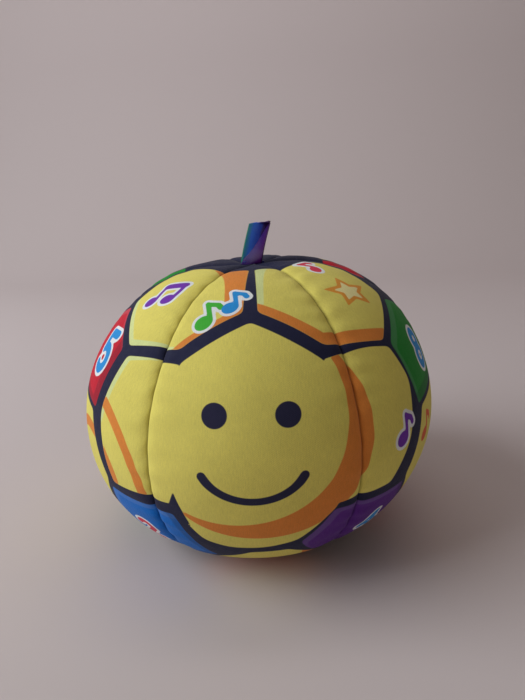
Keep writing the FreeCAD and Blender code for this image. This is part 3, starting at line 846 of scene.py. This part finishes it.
def satin_ribbon():
    """Woven satin that runs through the rainbow's cool colours across its width."""
    s = Shader("rainbow_satin")
    across = s.attribute("across")
    wander = s.math("ADD", across, s.remap(s.noise(300), 0.3, 0.7, -0.02, 0.02))
    colour = s.ramp(
        wander,
        (
            (0.0, (64, 6, 84)),
            (0.25, (46, 12, 104)),
            (0.40, (22, 66, 190)),
            (0.72, (18, 98, 214)),
            (0.88, (14, 122, 170)),
            (1.0, (30, 150, 110)),
        ),
    )
    thread = s.math("MULTIPLY", across, 2 * math.pi * 46)
    ribs = s.math("SINE", s.math("MULTIPLY", s.attribute("along"), 2 * math.pi / (0.45 * MM)))
    warp = s.math("SINE", thread)
    edge = s.remap(s.attribute("edge_run"), 0.0, 0.7, 0.75, 1.0)
    grey = s.add("ShaderNodeCombineColor", Red=edge, Green=edge, Blue=edge).outputs[0]
    normal = s.bump(warp, 0.05 * MM, 0.5)
    normal = s.bump(ribs, 0.06 * MM, 0.5, normal)
    normal = s.bump(s.noise(500), 0.2 * MM, 0.3, normal)
    return s.finish(
        Base_Color=s.mix(1.0, colour, grey, "MULTIPLY"),
        Roughness=s.remap(s.noise(200), 0.3, 0.7, 0.3, 0.42),
        Anisotropic=0.5,
        Specular_IOR_Level=0.3,
        Normal=normal,
    )


def moulded_plastic(name, colour, rough=0.45):
    """Injection-moulded plastic with a fine spark texture and small scuffs."""
    s = Shader(name)
    scuff = s.remap(s.noise(700, 5), 0.62, 0.7, 0.0, 0.35)
    tone = s.mix(s.remap(s.noise(60, 3), 0.3, 0.7, 0.0, 0.12), linear(colour), linear((90, 90, 90)))
    pale = tuple(min(255, c + 40) for c in colour)
    normal = s.bump(s.noise(3200, 2), 0.05 * MM, 0.5)
    return s.finish(
        Base_Color=s.mix(scuff, tone, linear(pale)),
        Roughness=s.remap(s.noise(240, 4), 0.3, 0.7, rough - 0.08, rough + 0.12),
        Normal=normal,
    )


def bright_metal(name, colour, rough=0.3, turned=False):
    """Plated or stamped metal, with tool lines and dull spots."""
    s = Shader(name)
    place = s.place()
    drawn = s.add("ShaderNodeMapping", Vector=place)
    drawn.inputs["Scale"].default_value = (1, 1, 30) if turned else (30, 1, 1)
    lines = s.noise(260, 3, drawn.outputs[0])
    dull = s.remap(s.noise(500, 4), 0.45, 0.65)
    tarnish = tuple(int(c * 0.7) for c in colour)
    return s.finish(
        Base_Color=s.mix(dull, linear(colour), linear(tarnish)),
        Metallic=1.0,
        Roughness=s.remap(lines, 0.3, 0.7, rough - 0.08, rough + 0.15),
        Normal=s.bump(lines, 0.03 * MM, 0.5),
    )


def fibre_fill():
    """White polyester filling in loose tufts."""
    s = Shader("polyester_fill")
    strands = s.noise(700, 6, roughness=0.7)
    tufts = s.noise(120, 4)
    colour = s.mix(s.remap(tufts, 0.35, 0.65), linear((206, 206, 200)), linear((240, 240, 236)))
    normal = s.bump(strands, 0.6 * MM, 0.9)
    return s.finish(
        Base_Color=colour,
        Roughness=s.remap(strands, 0.3, 0.7, 0.86, 1.0),
        Sheen_Weight=0.5,
        Normal=s.bump(tufts, 1.5 * MM, 0.8, normal),
    )


def tape(name, colour, hooked):
    """Hook or loop tape: rows of small hooks, or a felted pile."""
    s = Shader(name)
    if hooked:
        cells = s.add("ShaderNodeTexVoronoi", Vector=s.place(), Scale=900.0, Randomness=0.35)
        pile = s.remap(cells.outputs["Distance"], 0.0, 0.6, 1.0, 0.0)
    else:
        pile = s.noise(1400, 6, roughness=0.75)
    tone = s.remap(pile, 0.2, 0.8, 0.72, 1.05)
    grey = s.add("ShaderNodeCombineColor", Red=tone, Green=tone, Blue=tone).outputs[0]
    return s.finish(
        Base_Color=s.mix(1.0, linear(colour), grey, "MULTIPLY"),
        Roughness=s.remap(pile, 0.0, 1.0, 0.85, 0.6),
        Sheen_Weight=0.1 if hooked else 0.5,
        Normal=s.bump(pile, 0.5 * MM, 0.8),
    )


def circuit_laminate():
    """Green solder mask over copper lines."""
    s = Shader("solder_mask")
    place = s.place()
    bands = s.add("ShaderNodeTexWave", {"wave_type": "BANDS", "bands_direction": "Z"}, Vector=place)
    bands.inputs["Scale"].default_value = 120.0
    bands.inputs["Distortion"].default_value = 2.0
    lines = s.remap(bands.outputs["Fac"], 0.55, 0.62)
    colour = s.mix(lines, linear((18, 84, 50)), linear((34, 116, 66)))
    return s.finish(
        Base_Color=colour,
        Roughness=s.remap(s.noise(400), 0.3, 0.7, 0.28, 0.42),
        Normal=s.bump(lines, 0.04 * MM, 0.6),
    )


def cell_jacket():
    """A printed film sleeve over a steel cell, dark with a pale ring at one end."""
    s = Shader("cell_sleeve")
    split = s.add("ShaderNodeSeparateXYZ", Vector=s.place())
    band = s.remap(s.math("ABSOLUTE", split.outputs["X"]), 0.0150, 0.0152)
    colour = s.mix(band, linear((40, 44, 52)), linear((196, 150, 70)))
    return s.finish(
        Base_Color=s.mix(s.remap(s.noise(300), 0.4, 0.7, 0, 0.2), colour, linear((90, 92, 96))),
        Roughness=s.remap(s.noise(200), 0.3, 0.7, 0.22, 0.36),
        Coat_Weight=0.3,
    )


def speaker_paper():
    """Pressed black paper."""
    s = Shader("pressed_paper")
    fibres = s.noise(900, 6)
    return s.finish(
        Base_Color=s.mix(s.remap(fibres, 0.35, 0.65), linear((30, 30, 32)), linear((58, 56, 54))),
        Roughness=s.remap(fibres, 0.3, 0.7, 0.75, 0.95),
        Normal=s.bump(fibres, 0.08 * MM, 0.7),
    )


def floor_material():
    """Pale matt board."""
    s = Shader("studio_floor")
    return s.finish(Base_Color=linear((208, 198, 198)), Roughness=0.85, Specular_IOR_Level=0.15)


def node_materials():
    """Material of each record slot."""
    return {
        "printed_cover": plain_cloth("cover_lining", (225, 226, 222)),
        "ribbon_satin": plain_cloth("ribbon_satin_tail", (60, 70, 170), 0.5, 0.3, 0.05),
        "hook_tape": tape("hook_tape_nylon", (52, 52, 72), True),
        "loop_tape": tape("loop_tape_pile", (52, 52, 72), False),
        "lining_fabric": plain_cloth("woven_lining", (38, 38, 56), 0.7, 0.15, 0.12),
        "fibre_fill": fibre_fill(),
        "housing_plastic": moulded_plastic("housing_abs", (222, 222, 216)),
        "screw_steel": bright_metal("zinc_steel", (190, 190, 186), 0.3, True),
        "contact_metal": bright_metal("nickel_strip", (206, 202, 190), 0.26),
        "cell_jacket": cell_jacket(),
        "board_laminate": circuit_laminate(),
        "black_plastic": moulded_plastic("black_moulding", (30, 30, 32), 0.4),
        "speaker_paper": speaker_paper(),
        "foam_ring": plain_cloth("closed_foam", (44, 44, 46), 0.6, 0.1, 0.3),
        "thread": plain_cloth("sewing_thread", (44, 44, 66), 0.5, 0.1, 0.1),
        "wire_sleeve": moulded_plastic("wire_sleeve_pvc", (176, 30, 34), 0.35),
    }


# ---------------------------------------------------------------- soft pieces


def finish_cover(obj, lon, lat, lon_rel, along, radius, print_shift):
    """Stores the print and the cloth's coordinates on both faces of a cover piece.

    The print of each gore is cut slightly higher or lower, so that it steps at the seams.
    """
    doubled = {"across": np.radians(lon_rel) * radius, "along": along}
    doubled["seam_run"] = (HALF_GORE - np.abs(lon_rel)) * np.pi / 180 * radius / MM
    fields = print_fields(lon.ravel(), lat.ravel() + print_shift * (np.abs(lat.ravel()) < 80))
    for name, values in {**doubled, **fields}.items():
        store(obj, name, np.tile(np.ravel(values), 2))
    obj.data.materials.append(CLOTH)
    obj.data.materials.append(LINING)
    merge_close(obj)


def ribbon_path(count):
    """The ribbon's middle line and its width direction, up one leg and down the other."""
    base = TOP_Z - POLE_DIP
    share = np.linspace(0, 1, count)
    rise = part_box("ribbon_loop")[1].z - base
    back = smooth_step(share, 0.0, 0.46)
    front = 1 - smooth_step(share, 0.54, 1.0)
    height = np.where(share < 0.5, back, front)
    fold = smooth_step(share, 0.45, 0.57)
    twist = np.radians(84 * fold * np.sqrt(height))
    half = RIBBON_W / 2
    x = 4.8 * MM * height**1.2 + half * (1 - np.cos(twist)) * fold - 1.2 * MM
    y = 1.2 * MM * (1 - 2 * smooth_step(share, 0.46, 0.54)) - 0.9 * MM * fold * np.sin(math.pi * height)
    line = np.stack([x, y, base + rise * height], -1)
    tilt = np.radians(np.where(share > 0.5, 10 * height, 4 * height))
    wide = np.stack([np.cos(twist) * np.cos(tilt), -np.sin(twist), np.sin(tilt) * np.cos(twist)], -1)
    return line, wide


def make_ribbon():
    """The satin loop that stands at the crown, twisted so that its front leg shows edge on at the top."""
    count, columns = 120, 16
    line, wide = ribbon_path(count)
    across = np.linspace(-0.5, 0.5, columns + 1)
    points = line[:, None] + wide[:, None] * (across * RIBBON_W)[None, :, None]
    normals = grid_normals(points)
    points = points + normals * (0.35 * MM * np.cos(across * math.pi))[None, :, None]
    obj = shell("ribbon", points, np.ones((count - 1, columns), bool), 0.3 * MM, grid_normals(points))
    run = np.concatenate([[0], np.cumsum(np.linalg.norm(np.diff(line, axis=0), axis=1))])
    store(obj, "along", np.tile(np.repeat(run, columns + 1), 2))
    # The front leg takes only the dark purple end of the satin's colours. This is partly the ribbon's own
    # purple and partly painted shade on that leg.
    front = smooth_step(np.linspace(0, 1, count), 0.48, 0.53)
    store(obj, "across", np.tile(np.outer(1 - 0.75 * front, 0.5 - across).ravel(), 2))
    store(obj, "edge_run", np.tile(np.tile((0.5 - np.abs(across)) * RIBBON_W / MM, count), 2))
    obj.data.materials.append(satin_ribbon())
    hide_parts("ribbon_loop")
    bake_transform(obj)


def make_stuffing():
    """The fibre filling: the frame's solid with a lumpy surface that keeps inside it."""
    source = frame["nodes"]["stuffing"]
    obj = bpy.data.objects.new("fibre_stuffing", source.data.copy())
    bpy.context.scene.collection.objects.link(obj)
    obj.data.materials.clear()
    remesh = obj.modifiers.new("even", "REMESH")
    remesh.mode = "VOXEL"
    remesh.voxel_size = 2.2 * MM
    apply_modifiers(obj)
    points = points_of(obj)
    normal = np.zeros(len(points) * 3, np.float32)
    obj.data.vertices.foreach_get("normal", normal)
    lumps = sum(
        np.sin(points @ rng.normal(size=3) * pitch + rng.uniform(0, 6)) for pitch in (160, 210, 260, 330, 420)
    )
    inward = 1.6 * MM + 1.3 * MM * smooth_step(lumps, -3, 3)
    moved = leaned(points - normal.reshape(-1, 3) * inward[:, None])
    moved[:, 2] = np.maximum(moved[:, 2], 1.8 * MM)
    obj.data.vertices.foreach_set("co", moved.astype(np.float32).ravel())
    obj.data.update()
    obj.data.materials.append(MATERIALS["fibre_fill"])
    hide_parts("stuffing")
    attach(obj, "ball")


def stitch_row(name, line, normals, body=None):
    """A row of short thread stitches along a line of points that lies on the cloth."""
    run = np.concatenate([[0], np.cumsum(np.linalg.norm(np.diff(line, axis=0), axis=1))])
    count = int(run[-1] / STITCH_PITCH)
    middles = (np.arange(count) + 0.5) * run[-1] / count
    at = np.stack([np.interp(middles, run, line[:, i]) for i in range(3)], 1)
    ahead = np.stack([np.interp(middles + 0.5 * MM, run, line[:, i]) for i in range(3)], 1) - at
    out = np.stack([np.interp(middles, run, normals[:, i]) for i in range(3)], 1)
    ahead /= np.linalg.norm(ahead, axis=1, keepdims=True)
    side = np.cross(out, ahead)
    sides = 8
    ring = np.linspace(0, 2 * math.pi, sides + 1)[:-1]
    slices = np.linspace(-1, 1, 9)
    vertices, faces = [], []
    for p, t, n, w in zip(at, ahead, out, side):
        first = len(vertices)
        for k in slices:
            reach = THREAD_R * math.sqrt(max(1 - k**4, 0.02))
            centre = p + t * k * STITCH_LENGTH / 2 + n * (0.15 * MM - 0.2 * MM * k * k)
            vertices += [centre + reach * (math.cos(a) * w + math.sin(a) * n) for a in ring]
        for i in range(len(slices) - 1):
            for j in range(sides):
                a = first + sides * i + j
                b = first + sides * i + (j + 1) % sides
                faces.append((a, b, b + sides, a + sides))
        last = first + sides * (len(slices) - 1)
        faces.append(tuple(first + j for j in reversed(range(sides))))
        faces.append(tuple(last + j for j in range(sides)))
    obj = new_object(name, vertices, faces)
    obj.data.materials.append(MATERIALS["thread"])
    if body:
        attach(obj, body)
    return obj


def opening_outline(inset, ease):
    """Points and normals round the closure, that far inside (or, below zero, outside) its edge."""
    half = OPENING_HALF - inset
    low, high = OPENING_Z[0] + inset, OPENING_Z[1] - min(inset, ease)
    corners = [(-half, high), (-half, low), (half, low), (half, high)]
    if inset < 0:
        corners.append(corners[0])
    x, z = (
        np.concatenate([np.linspace(a[i], b[i], 60) for a, b in zip(corners[:-1], corners[1:])])
        for i in range(2)
    )
    steps = step_at(z)
    radius, _, _ = meridian(steps)
    lon_rel = np.degrees(np.arcsin(-x / radius))
    points = ball_points(lon_rel, GORE_LON["back"], steps)
    rise = points - np.array([0, 0, WIDE_Z])
    return points, rise / np.linalg.norm(rise, axis=1, keepdims=True)


def make_stitches():
    """Stitching round the closure flap's three free edges and round the opening."""
    line, normals = opening_outline(3.2 * MM, 1.0 * MM)
    flap = stitch_row("flap_stitches", line - normals * 0.15 * MM, normals)
    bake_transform(flap)
    line, normals = opening_outline(-2.6 * MM, 0)
    stitch_row("opening_stitches", line, normals, "ball")


def apply_modifiers(obj):
    """Turns an object's modifiers into its mesh."""
    depsgraph = bpy.context.evaluated_depsgraph_get()
    mesh = bpy.data.meshes.new_from_object(obj.evaluated_get(depsgraph))
    obj.modifiers.clear()
    obj.data = mesh


# ---------------------------------------------------------------- studio


def area_light(name, place, aim, size, power, colour):
    """A soft rectangular lamp aimed at a point."""
    data = bpy.data.lights.new(name, "AREA")
    data.shape = "RECTANGLE"
    data.size, data.size_y = size
    data.energy = power
    data.color = colour
    obj = bpy.data.objects.new(name, data)
    bpy.context.scene.collection.objects.link(obj)
    obj.location = place
    obj.rotation_euler = (Vector(aim) - Vector(place)).to_track_quat("-Z", "Y").to_euler()


def backdrop():
    """A floor that sweeps up into a wall behind the ball."""
    turn = np.radians(np.linspace(0, 90, 25))
    wall_y, sweep = 0.75, 0.5
    y = np.concatenate([[-4], wall_y + sweep * np.sin(turn), [wall_y + sweep]])
    z = np.concatenate([[0], sweep * (1 - np.cos(turn)), [4]])
    vertices = [(x, a, b) for a, b in zip(y, z) for x in (-5, 5)]
    faces = [(2 * i, 2 * i + 1, 2 * i + 3, 2 * i + 2) for i in range(len(y) - 1)]
    floor = new_object("floor", vertices, faces)
    floor.location.z = -0.2 * MM
    floor.data.materials.append(floor_material())


def studio():
    """A pale floor and wall, an even sky and three soft lamps."""
    backdrop()
    area_light("window", (-1.15, -0.25, 0.85), (0, 0, 0.06), (1.0, 1.0), 15.5, (0.93, 0.97, 1.0))
    area_light("room", (0.9, -1.0, 1.2), (0, 0, 0.06), (1.6, 1.2), 0.5, (1.0, 0.9, 0.82))
    area_light("wall", (0.0, 0.3, 1.5), (0, 1.3, 0.5), (1.6, 0.5), 5.0, (1.0, 0.96, 0.96))
    world = bpy.data.worlds.new("room_light")
    world.use_nodes = True
    back = world.node_tree.nodes["Background"]
    back.inputs["Color"].default_value = linear((222, 206, 196))
    back.inputs["Strength"].default_value = 0.2
    bpy.context.scene.world = world
    bpy.context.scene.view_settings.view_transform = "Standard"


def camera():
    """A camera above and in front, a little to the right of the front gore."""
    azimuth, elevation, pitch, roll = (math.radians(a) for a in (2.04, 22.33, 17.06, -2.0))
    distance = 0.278
    toward = Vector((math.sin(azimuth), -math.cos(azimuth), 0))
    up = Vector((0, 0, 1))
    place = WIDE_Z * up + distance * (math.cos(elevation) * toward + math.sin(elevation) * up)
    ahead = -(math.cos(pitch) * toward + math.sin(pitch) * up)
    level = Vector((math.cos(azimuth), math.sin(azimuth), 0))
    upward = level.cross(ahead)
    right = math.cos(roll) * level + math.sin(roll) * upward
    over = -math.sin(roll) * level + math.cos(roll) * upward
    data = bpy.data.cameras.new("camera")
    data.lens = 26.64
    data.sensor_width = 36.0
    data.shift_x = 0.0083
    data.clip_start = 0.01
    obj = bpy.data.objects.new("camera", data)
    bpy.context.scene.collection.objects.link(obj)
    matrix = Matrix((right, over, -ahead)).transposed().to_4x4()
    matrix.translation = place
    obj.matrix_world = matrix
    bpy.context.scene.camera = obj


# ---------------------------------------------------------------- the whole object

MATERIALS = node_materials()
CLOTH = printed_cloth()
LINING = MATERIALS["printed_cover"]

for gore_name in GORE_LON:
    make_gore(gore_name)
make_flap()
make_ribbon()
make_stuffing()
make_stitches()

for part in frame["record"]["subparts"]:
    mesh = frame["nodes"][part["node"]].data
    mesh.materials.clear()
    mesh.materials.append(MATERIALS[part["material_slot"]])

studio()
camera()
